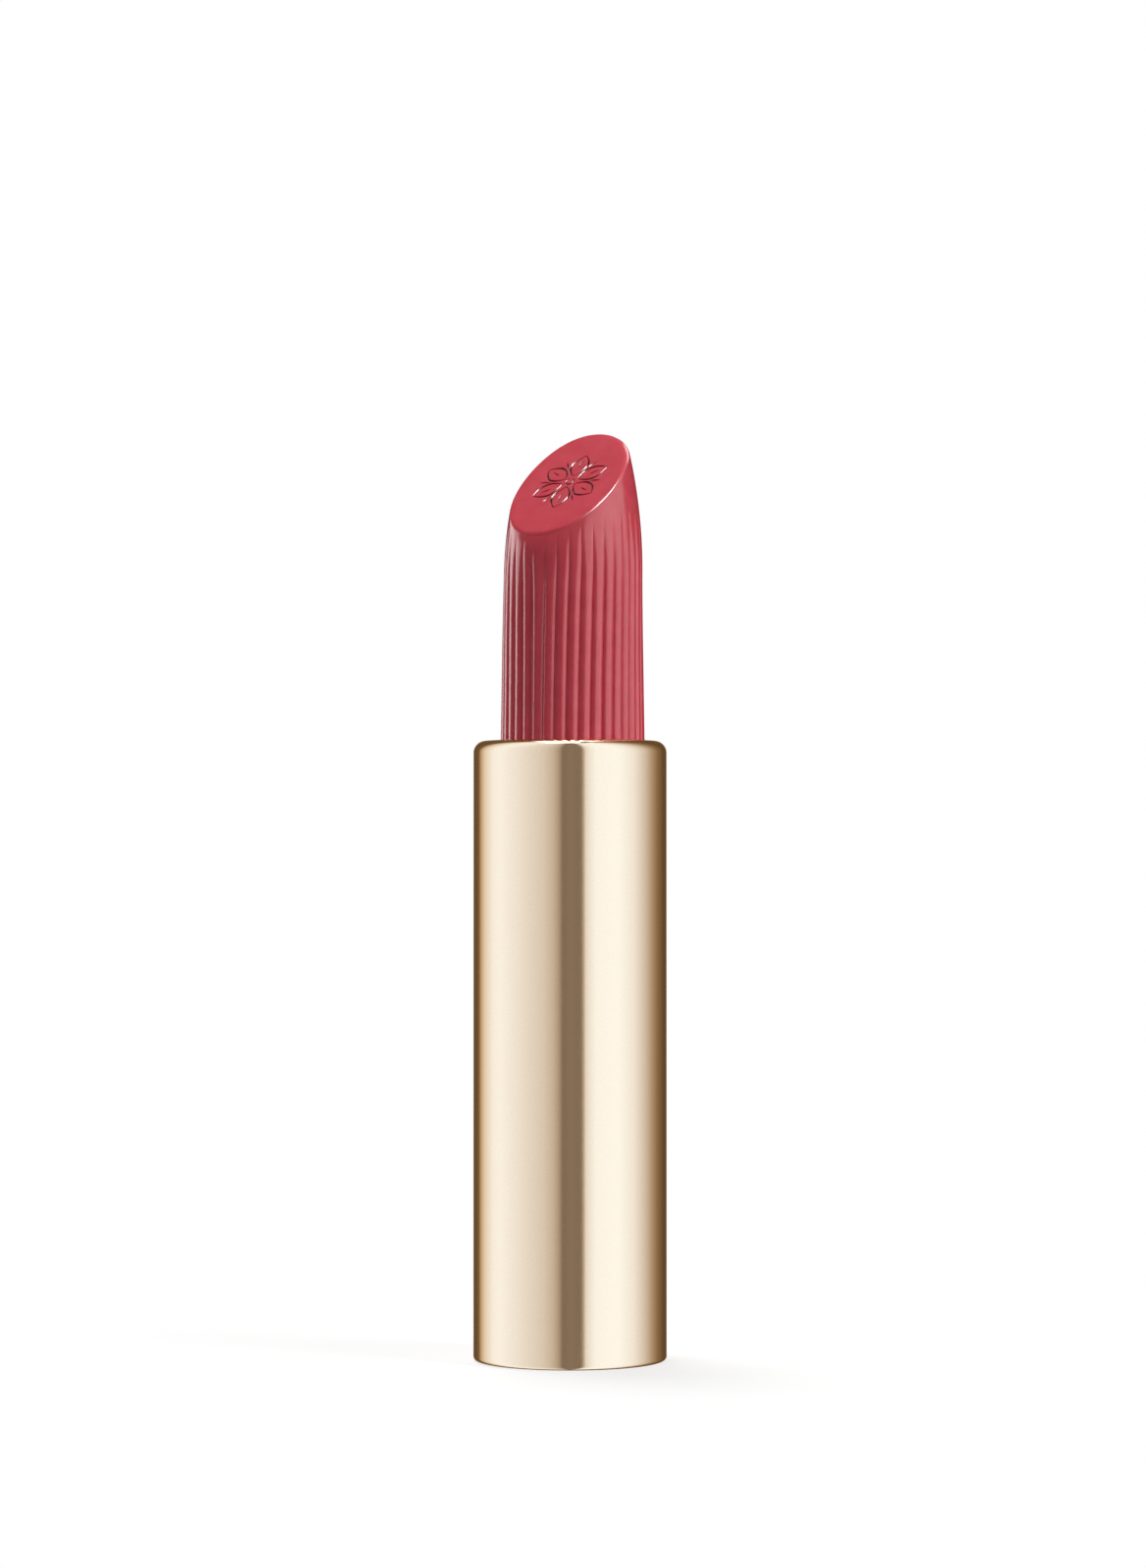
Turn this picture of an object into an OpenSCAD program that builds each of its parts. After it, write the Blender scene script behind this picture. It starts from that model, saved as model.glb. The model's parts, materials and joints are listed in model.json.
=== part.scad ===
// Twist-up lipstick refill: a reeded, slant-cut bullet in a gold metal tube.
// Turning the foot at the bottom of the tube turns a slotted tube around the
// bullet's cup. The cup's two pins run in spiral grooves, so the cup climbs.
// Origin: centre of the tube's bottom edge. +Z runs up the tube. Millimetres.
// The bullet is drawn fully wound out. The viewer stands on the -Y side.

/* [Tube] */
// Outside diameter of the metal tube
shell_d = 16.3; // [16.1:0.1:18]
// Height of the metal tube
shell_h = 52.2; // [50:0.1:56]
// Thickness of the tube's metal
shell_wall = 0.4; // [0.3:0.05:0.5]
// Radius of the tube's rounded shoulder
shoulder_round = 1; // [0.75:0.05:1.1]
// Radius of the tube's rounded bottom edge
edge_round = 0.35; // [0.2:0.05:0.5]

/* [Bullet] */
// Diameter of the bullet at the mouth of the tube
bullet_d = 12.16; // [12:0.02:12.2]
// Height of the slanted face's centre above the tube
face_height = 22.5; // [21:0.1:24]
// Slope of the slanted face from level, in degrees
face_slope = 43.5; // [35:0.5:48]
// Turn of the face's high side from straight behind, in degrees
face_turn = 33; // [0:1:90]
// Number of reeds around the bullet
reed_count = 36; // [24:1:48]
// Depth of the valleys between the reeds
reed_depth = 0.25; // [0.1:0.05:0.35]

/* [Mechanism] */
// Turns of the foot from wound in to wound out
turns = 1.5; // [1.25:0.25:2]
// Height of the bullet's cup
cup_h = 11; // [9:0.5:12]
// Diameter of the cup's two pins
pin_d = 1.8; // [1.4:0.1:2]
// Diameter of the drive socket in the foot
socket_d = 8; // [6:0.5:9]
// Width of the four keyways in the drive socket
key_w = 1.3; // [0.8:0.1:1.3]

/* [Hidden] */
$fn = 96;
eps = 0.01;       // overlap that keeps cuts and joins clean
past = 1;         // how far a cutter runs past the face it cuts

// Clearances between pieces that move on each other
running = 0.05;   // radial, between a shaft and its bearing
end_play = 0.1;   // along the axis, between faces that slide
groove_play = 0.15;

// Radii, from the bullet outwards
mouth_r = bullet_d / 2 + 0.33;
draft = 0.015;                                        // inward slope of the bullet's stem
cup_to_mouth = shell_wall + 0.7;                      // cup's rim below the tube's top, wound out
cup_bore_r = bullet_d / 2 + draft * cup_to_mouth;
cup_r = cup_bore_r + 0.4;
fork_bore_r = cup_r + running;
fork_r = fork_bore_r + 0.45;
sleeve_bore_r = fork_r + running;
shell_r = shell_d / 2;
shell_bore_r = shell_r - shell_wall;
groove_r = shell_bore_r - 0.25;
pin_tip_r = groove_r - 0.1;
lip_r = shell_bore_r - 0.55;

// Heights, from the bottom up
ring_top = 5.7;
foot_bottom = 0.8;
flange_bottom = ring_top + end_play;
flange_top = flange_bottom + 3.6;
sleeve_bottom = flange_top + 2 * end_play;
spigot_top = flange_top + 3.6;
cup_in_z = spigot_top + 0.3;                          // cup's floor, wound in
cup_out_z = shell_h - cup_to_mouth - cup_h;           // cup's floor, wound out
travel = cup_out_z - cup_in_z;
lead = travel / turns;
sleeve_top = shell_h - 1.2;
bead_bottom = sleeve_top + end_play;
bead_h = 0.5;
fork_top = bead_bottom + bead_h;

// Foot
foot_r = fork_bore_r + running;
flange_r = shell_bore_r - groove_play;
spigot_bore_r = fork_bore_r - 0.95;
socket_depth = 8;
socket_chamfer = 0.4;
key_depth = 0.9;
web = 1;

// Friction ring
o_ring_d = 1;
o_ring_r = shell_bore_r - 0.03 - o_ring_d / 2;
o_ring_z = (flange_bottom + flange_top) / 2;

// Cup and pins
cup_floor = 0.8;
pin_height = 1.6;                                     // above the cup's underside
pin_out_z = cup_out_z + pin_height;
rib_count = 8;
rib_w = 0.5;
rib_depth = 0.25;

// Spiral grooves: each one is a sector that turns as it climbs
groove_starts = 2;
climb_angle = atan(lead / (2 * PI * groove_r));
groove_w = pin_d + 2 * groove_play;
groove_sector = groove_w / (lead * cos(climb_angle)) * 360;
groove_bottom = sleeve_bottom - past;
groove_top = pin_out_z + pin_d / 2 + 0.4;
groove_h = groove_top - groove_bottom;
sector_steps = 6;
step_angle = 6;                                       // turn between layers

// Bullet: a drafted stem, then a wide arc that narrows to the tip
stem_h = 14;                                          // stem above the tube
stem_top_z = shell_h + stem_h;
stem_top_r = bullet_d / 2 - draft * stem_h;
arc_r = 42.8;
arc_drop = 1;                                         // arc's centre below the stem's top
arc_x = stem_top_r - sqrt(arc_r * arc_r - arc_drop * arc_drop);
root_z = cup_out_z + cup_floor;
cup_top = cup_out_z + cup_h;
valley_bottom = cup_top + 0.3;
valley_top = stem_top_z - 0.5;
reed_w = PI * bullet_d / reed_count;

// Ring around the Z axis, between two radii and two heights
module ring(inner_r, outer_r, bottom, top) {
    translate([0, 0, bottom])
        rotate_extrude()
            translate([inner_r, 0])
                square([outer_r - inner_r, top - bottom]);
}

// Half section of the tube's outside, from the axis outwards
module shell_outline() {
    square([shell_r - shoulder_round, shell_h]);
    translate([0, edge_round])
        square([shell_r, shell_h - edge_round - shoulder_round]);
    square([shell_r - edge_round, shell_h / 2]);
    translate([shell_r - edge_round, edge_round])
        circle(edge_round);
    translate([shell_r - shoulder_round, shell_h - shoulder_round])
        circle(shoulder_round);
}

// Half section of the tube's hollow, with the shoulder's inner rounding
module shell_hollow() {
    inner_round = shoulder_round - shell_wall;
    hollow_h = shell_h - 2 * shell_wall;
    translate([0, shell_wall]) {
        square([shell_bore_r - inner_round, hollow_h]);
        square([shell_bore_r, hollow_h - inner_round]);
        translate([shell_bore_r - inner_round, hollow_h - inner_round])
            circle(inner_round);
    }
}

// Drawn metal tube with an in-turned mouth and a bottom edge rolled in
module outer_shell() {
    color("#e6cfa4")
        rotate_extrude($fn = 192)
            difference() {
                shell_outline();
                shell_hollow();
                translate([0, shell_h / 2])
                    square([mouth_r, shell_h]);
                translate([0, -past])
                    square([lip_r, shell_h / 2]);
            }
}

// Bearing pressed into the tube's bottom, which holds the foot in
module bottom_bearing_ring() {
    color("#ece8e0")
        ring(foot_r, shell_bore_r, shell_wall, ring_top);
}

// Plan of one spiral groove
module groove_sector_plan() {
    inner = sleeve_bore_r - 0.3;
    half = groove_sector / 2;
    arc = [for (i = [0 : sector_steps]) -half + groove_sector * i / sector_steps];
    polygon(concat(
        [for (a = arc) groove_r * [cos(a), sin(a)]],
        [inner * [cos(half), sin(half)], inner * [cos(half), -sin(half)]]
    ));
}

// One right-hand spiral groove that passes the wound-out pin at angle 0
module spiral_groove() {
    translate([0, 0, groove_bottom])
        rotate((groove_bottom - pin_out_z) / lead * 360)
            linear_extrude(
                height = groove_h,
                twist = -groove_h / lead * 360,
                slices = ceil(groove_h / lead * 360 / step_angle),
                $fn = 12
            )
                groove_sector_plan();
}

// Grooved sleeve pressed into the tube
module spiral_sleeve() {
    color("#f2efe8")
        difference() {
            ring(sleeve_bore_r, shell_bore_r, sleeve_bottom, sleeve_top);
            for (i = [0 : groove_starts - 1])
                rotate(i * 360 / groove_starts)
                    spiral_groove();
        }
}

// Upright slot right through the slotted tube, with round ends
module guide_slot() {
    slot_w = pin_d + 2 * running;
    low = cup_in_z + pin_height;
    high = pin_out_z;
    play = 0.3;
    length = 2 * (fork_r + past);
    translate([-length / 2, -slot_w / 2, low - play])
        cube([length, slot_w, high - low + 2 * play]);
    for (z = [low - play, high + play])
        translate([0, 0, z])
            rotate([0, 90, 0])
                cylinder(d = slot_w, h = length, center = true);
}

// Tube that turns inside the spiral sleeve and carries the cup's pins round
module slotted_tube() {
    bead_r = fork_r + 0.3;
    color("#f6f4ee")
        difference() {
            union() {
                ring(fork_bore_r, fork_r, flange_top, fork_top);
                ring(fork_bore_r, bead_r, bead_bottom, fork_top);
            }
            guide_slot();
        }
}

// Half section of the foot, solid to the axis
module foot_outline() {
    translate([0, foot_bottom])
        square([foot_r - running, flange_top - foot_bottom]);
    difference() {
        translate([0, flange_bottom])
            square([flange_r, flange_top - flange_bottom]);
        translate([o_ring_r - o_ring_d / 2, o_ring_z - o_ring_d / 2 - running])
            square([o_ring_d, o_ring_d + 2 * running]);
    }
    translate([0, flange_top - eps])
        difference() {
            square([fork_bore_r, spigot_top - flange_top + eps]);
            translate([0, web])
                square([spigot_bore_r, spigot_top - flange_top]);
        }
}

// Blind socket with four keyways, open at the foot's underside
module drive_socket() {
    translate([0, 0, foot_bottom - past])
        cylinder(d = socket_d, h = socket_depth + past);
    translate([0, 0, foot_bottom - eps])
        cylinder(r1 = socket_d / 2 + socket_chamfer + eps, r2 = socket_d / 2, h = socket_chamfer + eps);
    for (turn = [0, 90])
        rotate(turn)
            translate([-socket_d / 2 - key_depth, -key_w / 2, foot_bottom - past])
                cube([socket_d + 2 * key_depth, key_w, socket_depth + past]);
}

// Foot that the case's post turns: plug, flange and spigot in one moulding
module drive_foot() {
    color("#d9d4ca")
        difference() {
            rotate_extrude()
                foot_outline();
            drive_socket();
        }
}

// Ring that drags lightly on the tube, so that the bullet stays where it is put
module friction_o_ring() {
    color("#3a3a3c")
        translate([0, 0, o_ring_z])
            rotate_extrude()
                translate([o_ring_r, 0])
                    circle(d = o_ring_d, $fn = 48);
}

// Ribs inside the cup that grip the bullet's root
module grip_ribs() {
    rib_h = cup_h - cup_floor - 1;
    for (i = [0 : rib_count - 1])
        rotate((i + 0.5) * 360 / rib_count)
            translate([cup_bore_r - rib_depth, -rib_w / 2, root_z])
                cube([rib_depth + (cup_r - cup_bore_r) / 2, rib_w, rib_h]);
}

// Cup that holds the bullet, with a pin on each side
module bullet_cup() {
    pin_root_r = cup_bore_r + 0.1;
    color("#f4f1ea") {
        difference() {
            translate([0, 0, cup_out_z])
                cylinder(r = cup_r, h = cup_h);
            translate([0, 0, root_z])
                cylinder(r = cup_bore_r, h = cup_h);
        }
        grip_ribs();
        for (side = [0, 180])
            rotate(side)
                translate([pin_root_r, 0, pin_out_z])
                    rotate([0, 90, 0])
                        cylinder(d = pin_d, h = pin_tip_r - pin_root_r);
    }
}

// Half section of the bullet before the slant cut, with its root in the cup
module bullet_outline() {
    polygon([
        [0, root_z],
        [cup_bore_r, root_z],
        [cup_bore_r, cup_top],
        [stem_top_r, stem_top_z],
        [0, stem_top_z]
    ]);
    intersection() {
        translate([arc_x, stem_top_z - arc_drop])
            circle(arc_r, $fn = 720);
        translate([0, stem_top_z])
            square([bullet_d, arc_r]);
    }
}

// Everything above the slanted face, which rises away from the viewer
module slant_cut() {
    size = 4 * bullet_d;
    translate([0, 0, shell_h + face_height])
        rotate([0, 0, -face_turn])
            rotate([face_slope, 0, 0])
                translate([-size / 2, -size / 2, 0])
                    cube(size);
}

// Straight V-shaped valley that follows the stem
module reed_valley() {
    open_w = reed_w * 0.7;
    lean = atan(draft);
    floor_r = cup_bore_r - draft * (valley_bottom - cup_top) - reed_depth;
    translate([floor_r, 0, valley_bottom])
        rotate([0, -lean, 0])
            linear_extrude(height = valley_top - valley_bottom)
                polygon([[0, 0], [2 * reed_depth, open_w], [2 * reed_depth, -open_w]]);
}

// Moulded bullet: plain root in the cup, reeded stem, slanted tip
module lipstick_bullet() {
    color("#b8434f")
        difference() {
            rotate_extrude()
                bullet_outline();
            grip_ribs();
            slant_cut();
            for (i = [0 : reed_count - 1])
                rotate((i + 0.5) * 360 / reed_count)
                    reed_valley();
        }
}

outer_shell();
bottom_bearing_ring();
spiral_sleeve();
slotted_tube();
drive_foot();
friction_o_ring();
bullet_cup();
lipstick_bullet();
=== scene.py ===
import json
import math

import bpy
import numpy as np
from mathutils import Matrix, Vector
from mathutils.geometry import delaunay_2d_cdt


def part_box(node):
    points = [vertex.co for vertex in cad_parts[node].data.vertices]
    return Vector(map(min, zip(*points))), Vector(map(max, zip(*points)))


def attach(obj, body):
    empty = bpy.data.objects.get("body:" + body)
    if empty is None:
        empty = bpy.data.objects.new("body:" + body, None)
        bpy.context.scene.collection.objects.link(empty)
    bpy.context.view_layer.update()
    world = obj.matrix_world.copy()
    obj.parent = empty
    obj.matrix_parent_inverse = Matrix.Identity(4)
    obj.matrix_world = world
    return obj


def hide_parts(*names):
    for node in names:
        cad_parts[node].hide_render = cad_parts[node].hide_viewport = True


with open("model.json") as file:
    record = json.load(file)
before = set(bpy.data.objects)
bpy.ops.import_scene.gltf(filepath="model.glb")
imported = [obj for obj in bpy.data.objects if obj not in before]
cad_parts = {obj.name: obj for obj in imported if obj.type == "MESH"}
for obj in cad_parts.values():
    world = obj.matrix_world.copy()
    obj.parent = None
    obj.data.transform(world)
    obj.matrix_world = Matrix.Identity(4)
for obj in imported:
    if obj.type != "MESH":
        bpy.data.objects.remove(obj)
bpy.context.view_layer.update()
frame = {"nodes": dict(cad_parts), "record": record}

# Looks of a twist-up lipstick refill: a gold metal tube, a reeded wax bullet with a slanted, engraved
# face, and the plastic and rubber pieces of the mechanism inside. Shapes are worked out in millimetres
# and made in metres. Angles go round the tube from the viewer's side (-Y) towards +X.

MM = 0.001
TAU = 2 * math.pi


# ---------------------------------------------------------------- sizes, from the frame

def node_box(node):
    """Lowest and highest corner of a CAD node, in millimetres."""
    low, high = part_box(node)
    return low / MM, high / MM


SHELL_R = node_box("outer_shell")[1].x
SHELL_H = node_box("outer_shell")[1].z
BORE_R = node_box("bottom_bearing_ring")[1].x
CUP_TOP = node_box("bullet_cup")[1].z
BULLET_ROOT_R = node_box("lipstick_bullet")[1].x
BULLET_ROOT_Z = node_box("lipstick_bullet")[0].z

# Tube
WALL = SHELL_R - BORE_R
SHOULDER_ROUND = 1.0
EDGE_ROUND = 0.35
BORE_CORNER = 0.1
BOTTOM_LIP_REACH = 0.55
LATHE_STEPS = 256

# Bullet's stem. All heights of the bullet are above the tube's mouth.
CREST_R = 6.09
MOUTH_GAP = 0.32
MOUTH_R = CREST_R + MOUTH_GAP
DRAFT = 0.0151
CUP_GAP = 0.2
STEM_FOOT = CUP_TOP + CUP_GAP - SHELL_H
STEM_TOP = 9.0
STEM_RINGS = 12
STANDS_OFF = 0.22

# Reeds along the stem, how they fan out and where they run out
REEDS = 36
REED_STEPS = 14
REED_W = TAU * CREST_R / REEDS
REED_ROUND = 0.71
REED_DEPTH = REED_ROUND - math.sqrt(REED_ROUND ** 2 - (REED_W / 2) ** 2)
FIRST_VALLEY = math.radians(4.4)
FAN = math.radians(4)
FAN_GROWTH = 1.4
FAN_EVENNESS = 0.6
FADE_LOW = 16.6
FADE_RISE = 4.2
FADE_LENGTH = 8.0
FADE_NARROWING = 0.4
FADE_SOFTNESS = 0.012

# Root in the cup
RIB_CLEARANCE = 0.26
ROOT_R = BULLET_ROOT_R - RIB_CLEARANCE
ROOT_CHAMFER = 0.25
ROOT_STEP = 0.1
ROOT_BOTTOM = BULLET_ROOT_Z - SHELL_H
ROOT_TOP = STEM_FOOT - ROOT_STEP

# Ogive
OGIVE_START = 14.3
OGIVE_ROUND = 42.5
OGIVE_RINGS = 75
LEAN_START = 8.0
LEAN_RATE = 0.0022

# Slanted face, the bevel round it and the tuck under its low edge
FACE_HEIGHT = 22.36
FACE_SLOPE = math.radians(43.7)
FACE_TURN = math.radians(33.8)
HIGH_SIDE = math.pi - FACE_TURN
LOW_SIDE = -FACE_TURN
BEVEL = 0.25
BEVEL_RINGS = 7
TIP_BEVEL = 1.0
TIP_BEVEL_SIDE = math.radians(128)
TUCK = 0.28
TUCK_HEIGHT = 1.5
TUCK_SIDE = math.radians(-25)

# Directions in the slanted face: across the slope, up the slope and out of the face
FACE_MIDDLE = np.array([0, 0, FACE_HEIGHT])
FACE_ACROSS = np.array([math.cos(FACE_TURN), -math.sin(FACE_TURN), 0])
FACE_UP = np.array([
    math.cos(FACE_SLOPE) * math.sin(FACE_TURN),
    math.cos(FACE_SLOPE) * math.cos(FACE_TURN),
    math.sin(FACE_SLOPE),
])
FACE_OUT = np.cross(FACE_ACROSS, FACE_UP)

# Engraved rosette. Lines are given by half of their width.
ROSETTE_DROP = 0.6
PETALS = 6
PETAL_START = 0.7
PETAL_END = 3.4
PETAL_BOW = 1.6
PETAL_LINE = 0.13
VEIN_START = 0.4
VEIN_END = 0.75
VEIN_LINE = 0.09
DASH_START = 2.1
DASH_BEND = 2.5
DASH_END = 3.0
DASH_LINE = 0.1
EYE_R = 0.36
EYE_STEP = 15
EYE_LINE = 0.1
GROOVE_SLOPE = 0.75
# Painted shade in the grooves: the depth at which a groove is fully shaded, and the colour the wax is
# multiplied by there
GROOVE_PAINTED_SHADE_DEPTH = 0.05
GROOVE_PAINTED_SHADE = (0.09, 0.02, 0.025, 1)

# Mesh of the face: fine at the engraving and coarse elsewhere
COARSE_SPACING = 0.4
COARSE_GAP = 0.2
FINE_SPACING = 0.038
FINE_REACH = 0.06
EDGE_CLEARANCE = 0.6
WELD_DISTANCE = 1e-9


# ---------------------------------------------------------------- mesh helpers

def add_piece(name, points, faces, material):
    """New smooth-shaded object from points in millimetres."""
    mesh = bpy.data.meshes.new(name)
    mesh.from_pydata((np.asarray(points, float) * MM).tolist(), [], faces)
    mesh.update()
    mesh.shade_smooth()
    mesh.materials.append(material)
    piece = bpy.data.objects.new(name, mesh)
    bpy.context.scene.collection.objects.link(piece)
    return piece


def arc(centre, radius, start, end, steps=10):
    """Points on an arc in a half section, from one angle to another in degrees."""
    angles = np.radians(np.linspace(start, end, steps + 1))
    return [(centre[0] + radius * math.cos(a), centre[1] + radius * math.sin(a)) for a in angles]


def bend_at(t, start, control, end):
    """Point at t from 0 to 1 on the curve from start to end that is pulled towards control."""
    return (1 - t) ** 2 * start + 2 * t * (1 - t) * control + t ** 2 * end


def bend(start, control, end, steps=24):
    """Points along such a curve."""
    return bend_at(np.linspace(0, 1, steps + 1)[:, None], start, control, end)


def hold_straights(outline, margin=0.03, shortest=0.3):
    """Adds a point near each end of every long straight, so that smooth shading stays on the curves."""
    held = []
    for here, there in zip(outline, outline[1:] + outline[:1]):
        here, there = np.array(here), np.array(there)
        length = np.linalg.norm(there - here)
        held.append(here)
        if length > shortest:
            step = (there - here) / length * margin
            held += [here + step, there - step]
    return held


def turned_points(outline, steps):
    """Rings of points: each point (radius, height) of an outline, turned round the axis."""
    angles = [TAU * i / steps for i in range(steps)]
    return [(radius * math.sin(a), -radius * math.cos(a), z) for radius, z in outline for a in angles]


def ring_faces(rows, columns, closed=False):
    """Quads between rings of points that run round the axis."""
    faces = []
    for i in range(rows if closed else rows - 1):
        for j in range(columns):
            a = i * columns + j
            b = i * columns + (j + 1) % columns
            c = (i + 1) % rows * columns + (j + 1) % columns
            d = (i + 1) % rows * columns + j
            faces.append((a, b, c, d))
    return faces


def ring_at(radius, angle, height):
    """Ring of points from a radius, an angle and a height for each column."""
    return np.stack([radius * np.sin(angle), -radius * np.cos(angle), height], axis=-1)


def ring_angles(ring):
    """Angle round the axis of each point of a ring."""
    return np.arctan2(ring[:, 0], -ring[:, 1])


# ---------------------------------------------------------------- material helpers

# Parts of a noise's range from 0 to 1: the middle, and most of what it reaches
NOISE_MIDDLE = (0.35, 0.65)
NOISE_MOST = (0.3, 0.7)


class Paint:
    """A node material with a Principled shader, built up by short calls."""

    def __init__(self, name):
        self.material = bpy.data.materials.new(name)
        self.material.use_nodes = True
        self.tree = self.material.node_tree
        self.shader = self.tree.nodes["Principled BSDF"]
        self.place = self.node("ShaderNodeTexCoord").outputs["Object"]

    def node(self, kind, **settings):
        made = self.tree.nodes.new(kind)
        for key, value in settings.items():
            setattr(made, key, value)
        return made

    def link(self, source, target):
        self.tree.links.new(source, target)

    def set(self, **sockets):
        """Sets the shader's own sockets, with _ for each blank in a socket's name."""
        for key, value in sockets.items():
            self.shader.inputs[key.replace("_", " ")].default_value = value

    def noise(self, size_mm, detail=3.0, stretch=(1, 1, 1), roughness=0.5):
        """Noise whose patches are about size_mm across."""
        stretched = self.node("ShaderNodeMapping")
        stretched.inputs["Scale"].default_value = stretch
        self.link(self.place, stretched.inputs["Vector"])
        noise = self.node("ShaderNodeTexNoise")
        noise.inputs["Scale"].default_value = 1 / (size_mm * MM)
        noise.inputs["Detail"].default_value = detail
        noise.inputs["Roughness"].default_value = roughness
        self.link(stretched.outputs["Vector"], noise.inputs["Vector"])
        return noise.outputs["Fac"]

    def ramp(self, source, low, high):
        """Colours from low to high over the middle of the noise's range."""
        ramp = self.node("ShaderNodeValToRGB")
        first, second = ramp.color_ramp.elements
        first.position, second.position = NOISE_MIDDLE
        first.color, second.color = (*low, 1), (*high, 1)
        self.link(source, ramp.inputs["Fac"])
        return ramp.outputs["Color"]

    def spread(self, source, start, end, low, high):
        """Values from low to high as the source goes from start to end."""
        spread = self.node("ShaderNodeMapRange")
        spread.inputs["From Min"].default_value = start
        spread.inputs["From Max"].default_value = end
        spread.inputs["To Min"].default_value = low
        spread.inputs["To Max"].default_value = high
        self.link(source, spread.inputs["Value"])
        return spread.outputs["Result"]

    def colour(self, source, low, high):
        self.link(self.ramp(source, low, high), self.shader.inputs["Base Color"])

    def roughness(self, source, low, high):
        start, end = NOISE_MOST
        spread = self.spread(source, start, end, low, high)
        self.link(spread, self.shader.inputs["Roughness"])

    def bump(self, source, height_mm):
        bump = self.node("ShaderNodeBump")
        bump.inputs["Distance"].default_value = height_mm * MM
        self.link(source, bump.inputs["Height"])
        self.link(bump.outputs["Normal"], self.shader.inputs["Normal"])


# ---------------------------------------------------------------- materials

def gold_metal():
    """Pale gold anodised metal: satin-bright, with a very fine grain."""
    paint = Paint("gold_metal")
    paint.set(Metallic=1.0, Specular_Tint=(1.0, 0.84, 0.62, 1))
    paint.colour(paint.noise(0.15, detail=4), low=(0.935, 0.760, 0.537), high=(0.957, 0.784, 0.567))
    paint.roughness(paint.noise(0.25, stretch=(1, 1, 0.4)), low=0.085, high=0.12)
    paint.bump(paint.noise(0.09, detail=2), height_mm=0.00012)
    return paint.material


def rose_wax():
    """Creamy rose wax with a soft gloss and a fine cast grain."""
    paint = Paint("rose_wax")
    paint.set(
        Subsurface_Weight=0.35,
        Subsurface_Radius=(1.0, 0.3, 0.25),
        Subsurface_Scale=0.8 * MM,
        IOR=1.46,
    )
    wax = paint.ramp(paint.noise(1.6, detail=5), low=(0.535, 0.057, 0.080), high=(0.570, 0.066, 0.091))
    paint.roughness(paint.noise(0.5), low=0.205, high=0.235)
    paint.bump(paint.noise(0.1, roughness=0.6), height_mm=0.0002)
    # Painted shade in the engraving's grooves
    paint_groove_shade(paint, wax)
    return paint.material


def paint_groove_shade(paint, wax):
    """Paints shade into the grooves of the engraving: the wax colour is darkened there, and made less
    glossy.
    """
    engraving = paint.node("ShaderNodeAttribute", attribute_name="engraving").outputs["Fac"]
    painted_shade = paint.node("ShaderNodeMix", data_type="RGBA", blend_type="MULTIPLY")
    painted_shade.inputs["B"].default_value = GROOVE_PAINTED_SHADE
    paint.link(engraving, painted_shade.inputs["Factor"])
    paint.link(wax, painted_shade.inputs["A"])
    paint.link(painted_shade.outputs["Result"], paint.shader.inputs["Base Color"])
    plain_gloss = 0.5
    groove_gloss = 0.25
    duller = paint.spread(engraving, 0, 1, plain_gloss, groove_gloss)
    paint.link(duller, paint.shader.inputs["Specular IOR Level"])


def moulded_plastic(name, low, high):
    """Satin moulded plastic with faint flow marks and a fine spark-eroded texture."""
    paint = Paint(name)
    paint.set(IOR=1.49)
    paint.colour(paint.noise(4, detail=4, stretch=(1, 1, 0.4)), low, high)
    paint.roughness(paint.noise(0.8), low=0.34, high=0.46)
    paint.bump(paint.noise(0.08), height_mm=0.002)
    return paint.material


def black_rubber():
    """Matt black rubber with a dusty bloom."""
    paint = Paint("black_rubber")
    paint.colour(paint.noise(0.7, detail=5), low=(0.022, 0.022, 0.024), high=(0.045, 0.045, 0.048))
    paint.roughness(paint.noise(0.3), low=0.55, high=0.75)
    paint.bump(paint.noise(0.06), height_mm=0.004)
    return paint.material


# ---------------------------------------------------------------- tube

def tube_outline():
    """Closed half section: outside, shoulder, in-turned mouth, bore and rolled bottom lip."""
    lip = WALL / 2
    shoulder = (SHELL_R - SHOULDER_ROUND, SHELL_H - SHOULDER_ROUND)
    return hold_straights(
        arc((SHELL_R - EDGE_ROUND, EDGE_ROUND), EDGE_ROUND, -90, 0)
        + arc(shoulder, SHOULDER_ROUND, 0, 90, steps=20)
        + arc((MOUTH_R + lip, SHELL_H - lip), lip, 90, 270)
        + arc(shoulder, SHOULDER_ROUND - WALL, 90, 0)
        + arc((BORE_R - BORE_CORNER, WALL + BORE_CORNER), BORE_CORNER, 0, -90, steps=4)
        + arc((BORE_R - BOTTOM_LIP_REACH + lip, lip), lip, 90, 270)
    )


def make_tube():
    """The outline turned round the axis."""
    outline = tube_outline()
    points = turned_points(outline, LATHE_STEPS)
    faces = ring_faces(len(outline), LATHE_STEPS, closed=True)
    return add_piece("gold_tube", points, faces, gold_metal())


# ---------------------------------------------------------------- bullet's side

def valley_angle(index, height):
    """Angle of a valley. The valleys fan away from the low side as they climb."""
    straight = FIRST_VALLEY + index * TAU / REEDS
    side = np.sin(straight - LOW_SIDE)
    spread = FAN * np.clip(height / OGIVE_START, 0, 1) ** FAN_GROWTH
    return straight + spread * np.sign(side) * np.abs(side) ** FAN_EVENNESS


def ogive_radius(angle, height):
    """Distance from the axis to the smooth tip shape, whose middle leans to the high side."""
    above = np.clip(height - OGIVE_START, 0, None)
    section = CREST_R - DRAFT * height - (OGIVE_ROUND - np.sqrt(OGIVE_ROUND ** 2 - above ** 2))
    lean = LEAN_RATE * np.clip(height - LEAN_START, 0, None) ** 2
    off = angle - HIGH_SIDE
    return lean * np.cos(off) + np.sqrt(section ** 2 - (lean * np.sin(off)) ** 2)


def reed_share(angle, height):
    """How much of the reeds is left: all of them low down, and none where they run out near the tip."""
    fade_top = FADE_LOW + FADE_RISE * np.abs(np.sin((angle - LOW_SIDE) / 2))
    part = np.clip((fade_top - height) / FADE_LENGTH, 0, 1)
    return part * (2 - part)


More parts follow.
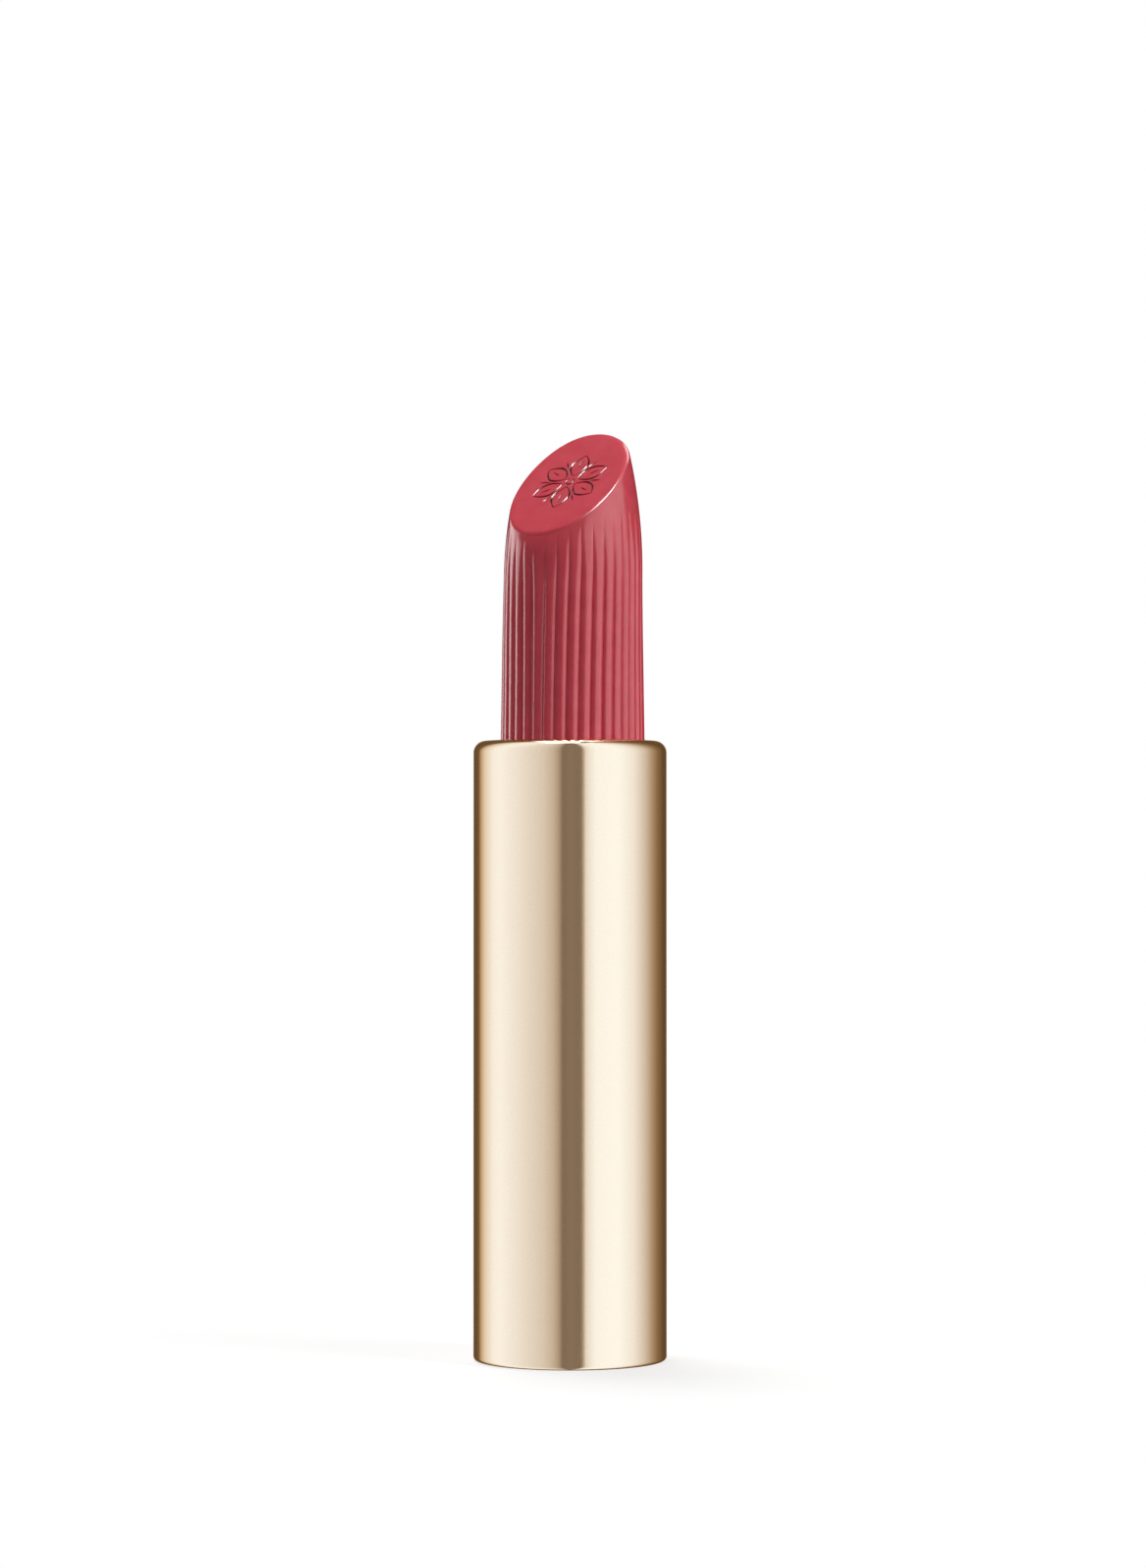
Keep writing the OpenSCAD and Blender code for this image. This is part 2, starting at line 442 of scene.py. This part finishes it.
def reed_relief(across, share):
    """Depth below the smooth shape. Valleys get narrower and shallower as the reeds run out."""
    relief = REED_ROUND - np.sqrt(REED_ROUND ** 2 - ((across - 0.5) * REED_W) ** 2)
    cut = FADE_NARROWING * REED_DEPTH * (1 - share)
    return share * FADE_SOFTNESS * np.logaddexp((relief - cut) / FADE_SOFTNESS, 0)


def face_height_at(radius, angle):
    """Height of the slanted face's plane over a spot of the bullet."""
    return FACE_HEIGHT + math.tan(FACE_SLOPE) * radius * np.cos(angle - HIGH_SIDE)


def tuck_depth(radius, angle, height):
    """How far the side is drawn in just under the face's low edge."""
    below = face_height_at(radius, angle) - height
    side = np.clip(np.cos(angle - TUCK_SIDE), 0, 1) ** 4
    return TUCK * side * np.clip(1 - below / TUCK_HEIGHT, 0, 1) ** 2


def side_point(index, across, height):
    """Point of the bullet's side: across goes from 0 to 1 between two valleys."""
    angle = (1 - across) * valley_angle(index, height) + across * valley_angle(index + 1, height)
    radius = ogive_radius(angle, height) - reed_relief(across, reed_share(angle, height))
    return ring_at(radius - tuck_depth(radius, angle, height), angle, height)


def face_edge_height(index, across, rounds=60):
    """Height at which each column of the side meets the slanted face, found by halving the gap."""
    height = np.full(index.shape, FACE_HEIGHT)
    for _ in range(rounds):
        corner = side_point(index, across, height)
        radius = np.hypot(corner[:, 0], corner[:, 1])
        height = (height + face_height_at(radius, ring_angles(corner))) / 2
    return height


def root_rings(angle):
    """Plain root that sits in the cup."""
    outline = (
        (ROOT_R - ROOT_CHAMFER, ROOT_BOTTOM),
        (ROOT_R, ROOT_BOTTOM + ROOT_CHAMFER),
        (ROOT_R, ROOT_TOP),
    )
    return [ring_at(radius, angle, np.full(len(angle), z)) for radius, z in outline]


def stem_rings(index, across):
    """Level rings of the reeded stem."""
    heights = np.linspace(STEM_FOOT, STEM_TOP, STEM_RINGS)
    return [side_point(index, across, np.full(len(index), height)) for height in heights]


def ogive_rings(index, across, top):
    """Rings from the stem up to the given height of each column."""
    shares = np.linspace(0, 1, OGIVE_RINGS + 1)[1:]
    return [side_point(index, across, STEM_TOP + share * (top - STEM_TOP)) for share in shares]


def bevel_rings(low_end, corner, inset):
    """Rings round the corner between the side and the face."""
    inward = FACE_MIDDLE - corner
    inward /= np.linalg.norm(inward, axis=1, keepdims=True)
    high_end = corner + inset[:, None] * inward
    shares = np.linspace(0, 1, BEVEL_RINGS + 1)[1:]
    return [bend_at(share, low_end, corner, high_end) for share in shares]


def bullet_rings():
    """Rings of points of the root, and of the rest up to the inner edge of the face's bevel."""
    columns = np.arange(REEDS * REED_STEPS)
    index = columns // REED_STEPS
    across = 0.5 - 0.5 * np.cos(math.pi * (columns % REED_STEPS) / REED_STEPS)

    edge = face_edge_height(index, across)
    corner = side_point(index, across, edge)
    tip_share = np.clip(np.cos(ring_angles(corner) - TIP_BEVEL_SIDE), 0, 1) ** 3
    inset = BEVEL + TIP_BEVEL * tip_share

    stem = stem_rings(index, across)
    ogive = ogive_rings(index, across, edge - inset)
    bevel = bevel_rings(ogive[-1], corner, inset)
    return root_rings(ring_angles(stem[0])), stem + ogive + bevel


# ---------------------------------------------------------------- bullet's engraved face

def turned(vector, degrees):
    """A vector in the face's plane, turned anticlockwise."""
    a = math.radians(degrees)
    c, s = math.cos(a), math.sin(a)
    return np.array([c * vector[0] - s * vector[1], s * vector[0] + c * vector[1]])


def petal_strokes(direction):
    """A petal: two bowed edges that meet at its ends, and a short vein."""
    root = direction * PETAL_START
    tip = direction * PETAL_END
    middle = (root + tip) / 2
    side = turned(direction, 90) * PETAL_BOW
    vein_start = root * (1 - VEIN_START) + tip * VEIN_START
    vein_end = root * (1 - VEIN_END) + tip * VEIN_END
    return [
        (bend(root, middle + side, tip), PETAL_LINE),
        (bend(root, middle - side, tip), PETAL_LINE),
        (bend(vein_start, middle, vein_end), VEIN_LINE),
    ]


def rosette_strokes():
    """A plain rosette: petals round a small ring, with a dash between each two petals."""
    upward = np.array([0, 1])
    petal_turn = 360 / PETALS
    strokes = []
    for i in range(PETALS):
        strokes += petal_strokes(turned(upward, petal_turn * i))
        between = turned(upward, petal_turn * (i + 0.5))
        dash = bend(between * DASH_START, between * DASH_BEND, between * DASH_END)
        strokes.append((dash, DASH_LINE))
    eye = np.array([turned(upward, a) * EYE_R for a in range(0, 361, EYE_STEP)])
    strokes.append((eye, EYE_LINE))
    return [(line - [0, ROSETTE_DROP], half_width) for line, half_width in strokes]


def groove_at(points):
    """Depth of the V-shaped grooves at points of the face, and the distance to the nearest groove."""
    depth = np.zeros(len(points))
    near = np.full(len(points), np.inf)
    for line, half_width in rosette_strokes():
        starts, ends = line[:-1], line[1:]
        spans = ends - starts
        for i, (start, span) in enumerate(zip(starts, spans)):
            t = np.clip((points - start) @ span / (span @ span), 0, 1)
            gap = np.linalg.norm(points - start - t[:, None] * span, axis=1)
            along = (i + t) / len(starts)
            half = half_width * (0.5 + 0.5 * np.sin(math.pi * along))
            depth = np.maximum(depth, GROOVE_SLOPE * (half - gap))
            near = np.minimum(near, gap - half)
    return depth, near


def grid_inside(loop, spacing):
    """Points of a triangular grid that lie inside a loop, clear of its edge."""
    reach = np.abs(loop).max()
    steps = np.arange(-reach, reach, spacing)
    x, y = np.meshgrid(steps, steps * math.sqrt(3) / 2)
    x[1::2] += spacing / 2
    spots = np.stack([x.ravel(), y.ravel()], axis=1)

    loop_angle = np.arctan2(loop[:, 1], loop[:, 0])
    loop_radius = np.linalg.norm(loop, axis=1)
    order = np.argsort(loop_angle)
    spot_angle = np.arctan2(spots[:, 1], spots[:, 0])
    limit = np.interp(spot_angle, loop_angle[order], loop_radius[order], period=TAU)
    return spots[np.linalg.norm(spots, axis=1) < limit - EDGE_CLEARANCE * spacing]


def face_points(loop):
    """Points inside the face's edge: coarse in the plain parts, fine at the engraving."""
    coarse = grid_inside(loop, COARSE_SPACING)
    coarse = coarse[groove_at(coarse)[1] > COARSE_GAP]
    fine = grid_inside(loop, FINE_SPACING)
    fine = fine[groove_at(fine)[1] < FINE_REACH]
    return np.concatenate([coarse, fine])


def face_mesh(rim, rim_start):
    """Points inside the rim, pressed in at the engraving, their depths, and the triangles up to the rim."""
    from_middle = rim - FACE_MIDDLE
    loop = np.stack([from_middle @ FACE_ACROSS, from_middle @ FACE_UP], axis=1)
    inner = face_points(loop)
    flat = [Vector(spot) for spot in np.concatenate([loop, inner])]
    outline = [list(range(len(loop)))]
    inside_only = 1
    _, _, corners, sources, _, _ = delaunay_2d_cdt(flat, [], outline, inside_only, WELD_DISTANCE)
    number = [rim_start + source[0] for source in sources]
    triangles = [tuple(number[i] for i in triangle) for triangle in corners]

    depth = groove_at(inner)[0]
    pressed = FACE_MIDDLE + inner[:, :1] * FACE_ACROSS + inner[:, 1:] * FACE_UP - depth[:, None] * FACE_OUT
    return pressed, depth, triangles


def make_bullet():
    """Root, reeded stem, ogive and slanted face with its engraving, as one closed mesh."""
    root, rings = bullet_rings()
    columns = len(rings[0])
    side = np.concatenate(root + rings)
    engraved, depth, triangles = face_mesh(rings[-1], len(side) - columns)
    bottom = np.array([[0, 0, ROOT_BOTTOM]])
    points = np.concatenate([side, engraved, bottom]) + np.array([0, 0, SHELL_H])
    points[len(root) * columns:-1, 0] += STANDS_OFF

    last = len(points) - 1
    fan = [(last, (j + 1) % columns, j) for j in range(columns)]
    faces = ring_faces(len(root + rings), columns) + triangles + fan
    bullet = add_piece("wax_bullet", points, faces, rose_wax())
    # Painted shade: how dark each point of the face is painted, by the depth of its groove
    groove_shade_share = np.clip(depth / GROOVE_PAINTED_SHADE_DEPTH, 0, 1)
    shade_layer = bullet.data.attributes.new("engraving", "FLOAT", "POINT")
    shade_layer.data.foreach_set("value", np.concatenate([np.zeros(len(side)), groove_shade_share, [0]]))
    return bullet


# ---------------------------------------------------------------- mechanism

def finish_mechanism():
    """Gives the CAD pieces of the mechanism their materials."""
    looks = {
        "white_plastic": moulded_plastic("white_plastic", low=(0.80, 0.785, 0.74), high=(0.86, 0.85, 0.81)),
        "grey_plastic": moulded_plastic("grey_plastic", low=(0.60, 0.575, 0.53), high=(0.68, 0.65, 0.60)),
        "black_rubber": black_rubber(),
    }
    for part in frame["record"]["subparts"]:
        if part["material_slot"] in looks:
            mesh = frame["nodes"][part["node"]].data
            mesh.materials.clear()
            mesh.materials.append(looks[part["material_slot"]])


# ---------------------------------------------------------------- what the metal reflects

# The light wall's brightness round the object: degrees, brightness and depth of gold
WALL_PANELS = {
    "dim back, left half": ((-180, 0.25, 1), (-160, 0.13, 1), (-147, 0.15, 1), (-139, 0.17, 1)),
    "left panel": (
        (-131, 0.56, 1), (-121, 0.81, 0.5), (-103, 0.99, 0), (-90, 1.01, 0), (-66, 0.91, 0),
        (-31, 0.73, 0.1), (-20, 0.60, 0.2),
    ),
    "dark gap ahead": (
        (-13, 0.44, 0.2), (-9, 0.21, 0), (0, 0.25, 0), (9, 0.23, 0), (13, 0.22, 0), (16, 0.48, 0.6),
    ),
    "right panel": (
        (18, 0.84, 0.1), (30, 1.03, 0), (58, 1.06, 0), (80, 0.93, 0), (100, 0.67, 0.2), (112, 0.47, 0.7),
    ),
    "dim back, right half": ((126, 0.26, 1), (145, 0.135, 1), (160, 0.12, 1), (180, 0.25, 1)),
}
PANEL_STRENGTH = 1.3
OVERHEAD_STRENGTH = 3.0

# The light wall's half section: radius and height. It is drawn in like a tent at the top.
WALL_OUTLINE = ((10, -260), (300, -260), (300, 360), (88, 460))
WALL_STEPS = 96


def panel_colour(brightness, depth=0.0):
    """Panels are slightly cool where bright and warm where dim. Depth from 0 to 1 makes them deep gold."""
    warm = np.array([1.0, 0.72, 0.45])
    cool = np.array([1.0, 1.11, 1.30])
    deep = np.array([1.0, 0.86, 0.66])
    tint = (warm + (cool - warm) * brightness) * (1 + (deep - 1) * depth)
    return tuple(brightness * tint / PANEL_STRENGTH)


def panels_ramp(nodes):
    """Colour ramp of the wall's panels, from -180 to 180 degrees."""
    ramp = nodes.new("ShaderNodeValToRGB")
    elements = ramp.color_ramp.elements
    elements.remove(elements[1])
    stops = [stop for panel in WALL_PANELS.values() for stop in panel]
    for i, (degrees, brightness, depth) in enumerate(stops):
        position = (degrees + 180) / 360
        element = elements[0] if i == 0 else elements.new(position)
        element.position = position
        element.color = (*panel_colour(brightness, depth), 1)
    return ramp


def glow_material(name, strength):
    """A material that only glows, and its glow node. It isn't sampled as a lamp, only met by reflections."""
    material = bpy.data.materials.new(name)
    material.use_nodes = True
    material.cycles.emission_sampling = "NONE"
    nodes = material.node_tree.nodes
    nodes.clear()
    glow = nodes.new("ShaderNodeEmission")
    glow.inputs["Strength"].default_value = strength
    out = nodes.new("ShaderNodeOutputMaterial")
    material.node_tree.links.new(glow.outputs["Emission"], out.inputs["Surface"])
    return material, glow


def light_wall_material():
    """Soft panels all round, with a dark gap straight ahead and dim ones behind."""
    material, glow = glow_material("light_wall", PANEL_STRENGTH)
    nodes, link = material.node_tree.nodes, material.node_tree.links.new
    place = nodes.new("ShaderNodeNewGeometry")
    parts = nodes.new("ShaderNodeSeparateXYZ")
    link(place.outputs["Position"], parts.inputs["Vector"])
    toward_viewer = nodes.new("ShaderNodeMath")
    toward_viewer.operation = "MULTIPLY"
    toward_viewer.inputs[1].default_value = -1
    link(parts.outputs["Y"], toward_viewer.inputs[0])
    angle = nodes.new("ShaderNodeMath")
    angle.operation = "ARCTAN2"
    link(parts.outputs["X"], angle.inputs[0])
    link(toward_viewer.outputs[0], angle.inputs[1])
    turn = nodes.new("ShaderNodeMapRange")
    turn.inputs["From Min"].default_value = -math.pi
    turn.inputs["From Max"].default_value = math.pi
    link(angle.outputs[0], turn.inputs["Value"])
    panels = panels_ramp(nodes)
    link(turn.outputs["Result"], panels.inputs["Fac"])
    link(panels.outputs["Color"], glow.inputs["Color"])
    return material


def overhead_material():
    """The bright, cool white of a full panel."""
    material, glow = glow_material("overhead_glow", OVERHEAD_STRENGTH)
    glow.inputs["Color"].default_value = (*panel_colour(1), 1)
    return material


def lights_only(panel, lit):
    """Keeps a panel or a lamp to some objects."""
    group = bpy.data.collections.new(panel.name + "_lights")
    for piece in lit:
        group.objects.link(piece)
    panel.light_linking.receiver_collection = group


def only_reflected(panel):
    """A panel that shows only in reflections."""
    panel.visible_camera = False
    panel.visible_diffuse = False
    panel.visible_shadow = False
    panel.visible_transmission = False
    panel.visible_volume_scatter = False


def make_light_wall(lit):
    """Round wall of soft panels with a bottom, for the metal to reflect."""
    points = turned_points(WALL_OUTLINE, WALL_STEPS)
    wall = add_piece("light_wall", points, ring_faces(len(WALL_OUTLINE), WALL_STEPS), light_wall_material())
    only_reflected(wall)
    lights_only(wall, lit)


def make_overhead_panel(lit):
    """A panel above, for the white streak along the tube's shoulder."""
    left, right, front, back, z = -87, 32, -51, 285, 350
    points = [(left, front, z), (left, back, z), (right, back, z), (right, front, z)]
    overhead = add_piece("overhead_panel", points, [(0, 1, 2, 3)], overhead_material())
    only_reflected(overhead)
    lights_only(overhead, lit)


# ---------------------------------------------------------------- lamps

LAMP_AIM = Vector((0, 0, 70))


def make_lamp(name, azimuth, elevation, distance, size, radiance):
    """Flat soft lamp aimed at the bullet, of a given width and height, placed by degrees round and up."""
    turn = math.radians(azimuth)
    rise = math.radians(elevation)
    out = Vector((math.sin(turn) * math.cos(rise), -math.cos(turn) * math.cos(rise), math.sin(rise)))
    light = bpy.data.lights.new(name, "AREA")
    light.shape = "RECTANGLE"
    light.size, light.size_y = size[0] * MM, size[1] * MM
    light.energy = radiance * 4 * light.size * light.size_y
    lamp = bpy.data.objects.new(name, light)
    bpy.context.scene.collection.objects.link(lamp)
    lamp.location = (LAMP_AIM + out * distance) * MM
    lamp.rotation_euler = (-out).to_track_quat("-Z", "Y").to_euler()
    lamp.visible_camera = False
    return lamp


def make_matt_lights():
    """Lamps that light the object but aren't mirrored in it."""
    lamps = (
        make_lamp("key", azimuth=62, elevation=18, distance=330, size=(170, 170), radiance=7.4),
        make_lamp("fill", azimuth=-50, elevation=10, distance=330, size=(220, 220), radiance=1.35),
        make_lamp("top", azimuth=-150, elevation=68, distance=360, size=(200, 200), radiance=8.4),
    )
    for lamp in lamps:
        lamp.visible_glossy = False


def make_wax_panels(wax):
    """Panels that show only as gloss on the bullet."""
    panels = (
        make_lamp("left_strip", azimuth=-120, elevation=-3, distance=250, size=(190, 230), radiance=2.9),
        make_lamp("right_panel", azimuth=57, elevation=12, distance=200, size=(373, 300), radiance=1.8),
        make_lamp("bevel_light", azimuth=19, elevation=66, distance=280, size=(140, 60), radiance=70.0),
        make_lamp("tip_panel", azimuth=140, elevation=45, distance=280, size=(160, 160), radiance=3.2),
    )
    for panel in panels:
        panel.visible_diffuse = False
        lights_only(panel, [wax])


# ---------------------------------------------------------------- floor, surroundings and camera

FLOOR_HALF = 4000
FLOOR_COLOUR = (0.93, 0.93, 0.93, 1)
FLOOR_ROUGHNESS = 0.9
FLOOR_FADE_START = 5
FLOOR_FADE_END = 70
FLOOR_LEAST_WHITE = 0.6
AMBIENT_GREY = (0.22, 0.215, 0.21, 1)
REFLECTED_BROWN = (0.07, 0.048, 0.03, 1)
BACKDROP_WHITE = (1, 1, 1, 1)


def pale_floor_material():
    """Matt floor that turns into plain white away from the tube."""
    material = bpy.data.materials.new("pale_floor")
    material.use_nodes = True
    material.cycles.emission_sampling = "NONE"
    nodes, link = material.node_tree.nodes, material.node_tree.links.new
    matt = nodes["Principled BSDF"]
    matt.inputs["Base Color"].default_value = FLOOR_COLOUR
    matt.inputs["Roughness"].default_value = FLOOR_ROUGHNESS
    matt.inputs["Specular IOR Level"].default_value = 0.0
    place = nodes.new("ShaderNodeNewGeometry")
    distance = nodes.new("ShaderNodeVectorMath")
    distance.operation = "LENGTH"
    link(place.outputs["Position"], distance.inputs[0])
    fade = nodes.new("ShaderNodeMapRange")
    fade.interpolation_type = "SMOOTHSTEP"
    fade.inputs["From Min"].default_value = FLOOR_FADE_START * MM
    fade.inputs["From Max"].default_value = FLOOR_FADE_END * MM
    fade.inputs["To Min"].default_value = FLOOR_LEAST_WHITE
    link(distance.outputs["Value"], fade.inputs["Value"])
    glow = nodes.new("ShaderNodeEmission")
    mix = nodes.new("ShaderNodeMixShader")
    link(fade.outputs["Result"], mix.inputs["Fac"])
    link(matt.outputs["BSDF"], mix.inputs[1])
    link(glow.outputs["Emission"], mix.inputs[2])
    link(mix.outputs["Shader"], nodes["Material Output"].inputs["Surface"])
    return material


def make_floor():
    """Wide floor, kept out of the gloss and the bounced light."""
    half = FLOOR_HALF
    points = [(-half, -half, 0), (half, -half, 0), (half, half, 0), (-half, half, 0)]
    floor = add_piece("pale_floor", points, [(0, 1, 2, 3)], pale_floor_material())
    floor.visible_glossy = False
    floor.visible_diffuse = False


def make_world():
    """White to the camera, dim to reflections and a soft grey to everything else."""
    world = bpy.data.worlds.new("studio")
    bpy.context.scene.world = world
    world.use_nodes = True
    nodes, link = world.node_tree.nodes, world.node_tree.links.new
    nodes.clear()

    def sky(colour):
        plain = nodes.new("ShaderNodeBackground")
        plain.inputs["Color"].default_value = colour
        return plain.outputs["Background"]

    path = nodes.new("ShaderNodeLightPath")
    shader = sky(AMBIENT_GREY)
    for ray, colour in (("Is Glossy Ray", REFLECTED_BROWN), ("Is Camera Ray", BACKDROP_WHITE)):
        mix = nodes.new("ShaderNodeMixShader")
        link(path.outputs[ray], mix.inputs["Fac"])
        link(shader, mix.inputs[1])
        link(sky(colour), mix.inputs[2])
        shader = mix.outputs["Shader"]
    out = nodes.new("ShaderNodeOutputWorld")
    link(shader, out.inputs["Surface"])


def make_camera():
    """Level with the upper part of the tube, and turned up and aside a touch."""
    distance = 374
    height = 43.3
    aside = 0.25
    pitch = math.radians(0.807)
    data = bpy.data.cameras.new("camera")
    data.sensor_width = 36
    data.lens = 101.6
    data.clip_start = 1 * MM
    data.clip_end = 100
    camera = bpy.data.objects.new("camera", data)
    bpy.context.scene.collection.objects.link(camera)
    camera.location = Vector((0, -distance, height)) * MM
    ahead = Vector((aside, distance, distance * math.tan(pitch)))
    camera.rotation_euler = ahead.to_track_quat("-Z", "Y").to_euler()
    bpy.context.scene.camera = camera


def light_scene(tube, bullet):
    """Light for the wax and for everything else, with the surroundings and the camera."""
    cad_pieces = [frame["nodes"][part["node"]] for part in frame["record"]["subparts"]]
    make_world()
    make_floor()
    make_light_wall([tube, *cad_pieces])
    make_overhead_panel([tube, *cad_pieces])
    make_matt_lights()
    make_wax_panels(bullet)
    make_camera()
    bpy.context.scene.view_settings.view_transform = "Standard"


# ---------------------------------------------------------------- the scene

tube = make_tube()
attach(tube, "sleeve")
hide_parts("outer_shell")

bullet = make_bullet()
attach(bullet, "carrier")
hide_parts("lipstick_bullet")

finish_mechanism()
light_scene(tube, bullet)
